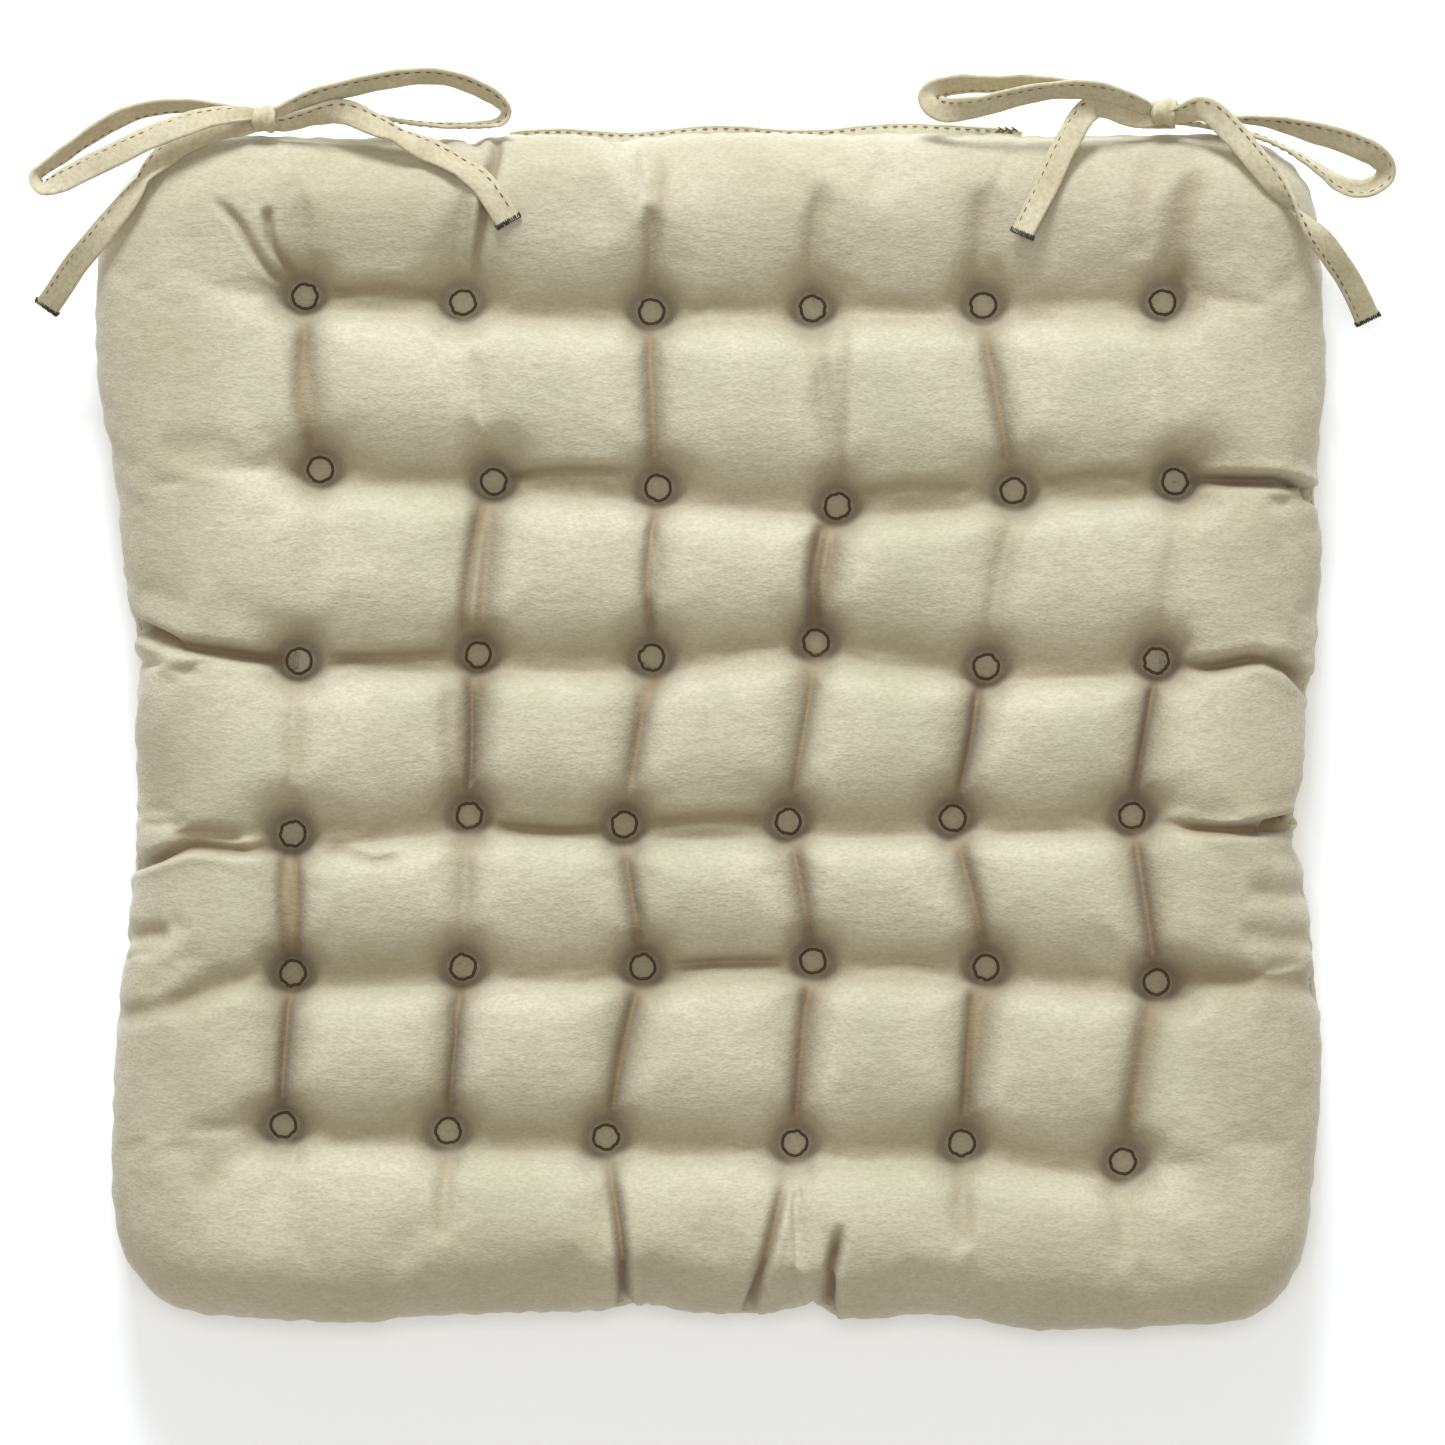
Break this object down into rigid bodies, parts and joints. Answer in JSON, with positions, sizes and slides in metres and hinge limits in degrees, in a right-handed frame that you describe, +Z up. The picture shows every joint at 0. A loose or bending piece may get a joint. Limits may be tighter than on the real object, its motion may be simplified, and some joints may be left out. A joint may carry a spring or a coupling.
{
  "type": "tufted chair seat pad",
  "caption": "Square tufted seat pad for a chair, with a pair of fabric ties bowed at each back corner to hold it to the seat back posts.",
  "frame": {"origin": "centre of the pad's underside, on the plane that it rests on", "axes": "+Z up, out of the top panel; +Y towards the back edge, where the ties are; +X to the right of someone sitting on it"},
  "size_m": [0.4441, 0.4113, 0.0564],
  "materials": {
    "cover_fabric": "plain-woven brushed cotton, undyed beige with a slight nap",
    "tie_fabric": "the cover's cotton, folded to a flat strip and topstitched along one edge",
    "wadding": "loose white fibre filling",
    "tuft_thread": "dark brown twisted polyester thread",
    "seam_thread": "brown twisted polyester thread",
    "tie_end_thread": "near-black overlocked thread"
  },
  "bodies": {
    "pad": {"top_panel": "cover_fabric", "bottom_panel": "cover_fabric", "filling": "wadding", "perimeter_seam": "seam_thread", "closing_seam": "seam_thread", "left_tie_bartack": "seam_thread", "right_tie_bartack": "seam_thread", "tuft_row1_col1": "tuft_thread", "tuft_row1_col2": "tuft_thread", "tuft_row1_col3": "tuft_thread", "tuft_row1_col4": "tuft_thread", "tuft_row1_col5": "tuft_thread", "tuft_row1_col6": "tuft_thread", "tuft_row2_col1": "tuft_thread", "tuft_row2_col2": "tuft_thread", "tuft_row2_col3": "tuft_thread", "tuft_row2_col4": "tuft_thread", "tuft_row2_col5": "tuft_thread", "tuft_row2_col6": "tuft_thread", "tuft_row3_col1": "tuft_thread", "tuft_row3_col2": "tuft_thread", "tuft_row3_col3": "tuft_thread", "tuft_row3_col4": "tuft_thread", "tuft_row3_col5": "tuft_thread", "tuft_row3_col6": "tuft_thread", "tuft_row4_col1": "tuft_thread", "tuft_row4_col2": "tuft_thread", "tuft_row4_col3": "tuft_thread", "tuft_row4_col4": "tuft_thread", "tuft_row4_col5": "tuft_thread", "tuft_row4_col6": "tuft_thread", "tuft_row5_col1": "tuft_thread", "tuft_row5_col2": "tuft_thread", "tuft_row5_col3": "tuft_thread", "tuft_row5_col4": "tuft_thread", "tuft_row5_col5": "tuft_thread", "tuft_row5_col6": "tuft_thread", "tuft_row6_col1": "tuft_thread", "tuft_row6_col2": "tuft_thread", "tuft_row6_col3": "tuft_thread", "tuft_row6_col4": "tuft_thread", "tuft_row6_col5": "tuft_thread", "tuft_row6_col6": "tuft_thread"},
    "left_bow": {"left_tie_outer": "tie_fabric", "left_tie_inner": "tie_fabric", "left_bow_knot": "tie_fabric", "left_tie_outer_end": "tie_end_thread", "left_tie_inner_end": "tie_end_thread"},
    "right_bow": {"right_tie_outer": "tie_fabric", "right_tie_inner": "tie_fabric", "right_bow_knot": "tie_fabric", "right_tie_outer_end": "tie_end_thread", "right_tie_inner_end": "tie_end_thread"}
  },
  "joints": [
    {"name": "left_tie_swing", "type": "hinge", "parent": "pad", "child": "left_bow", "pos_m": [-0.146, 0.1946, 0.025], "axis": [-1, 0, 0], "range_deg": [0, 90]},
    {"name": "right_tie_swing", "type": "hinge", "parent": "pad", "child": "right_bow", "pos_m": [0.146, 0.1946, 0.025], "axis": [-1, 0, 0], "range_deg": [0, 90]}
  ]
}
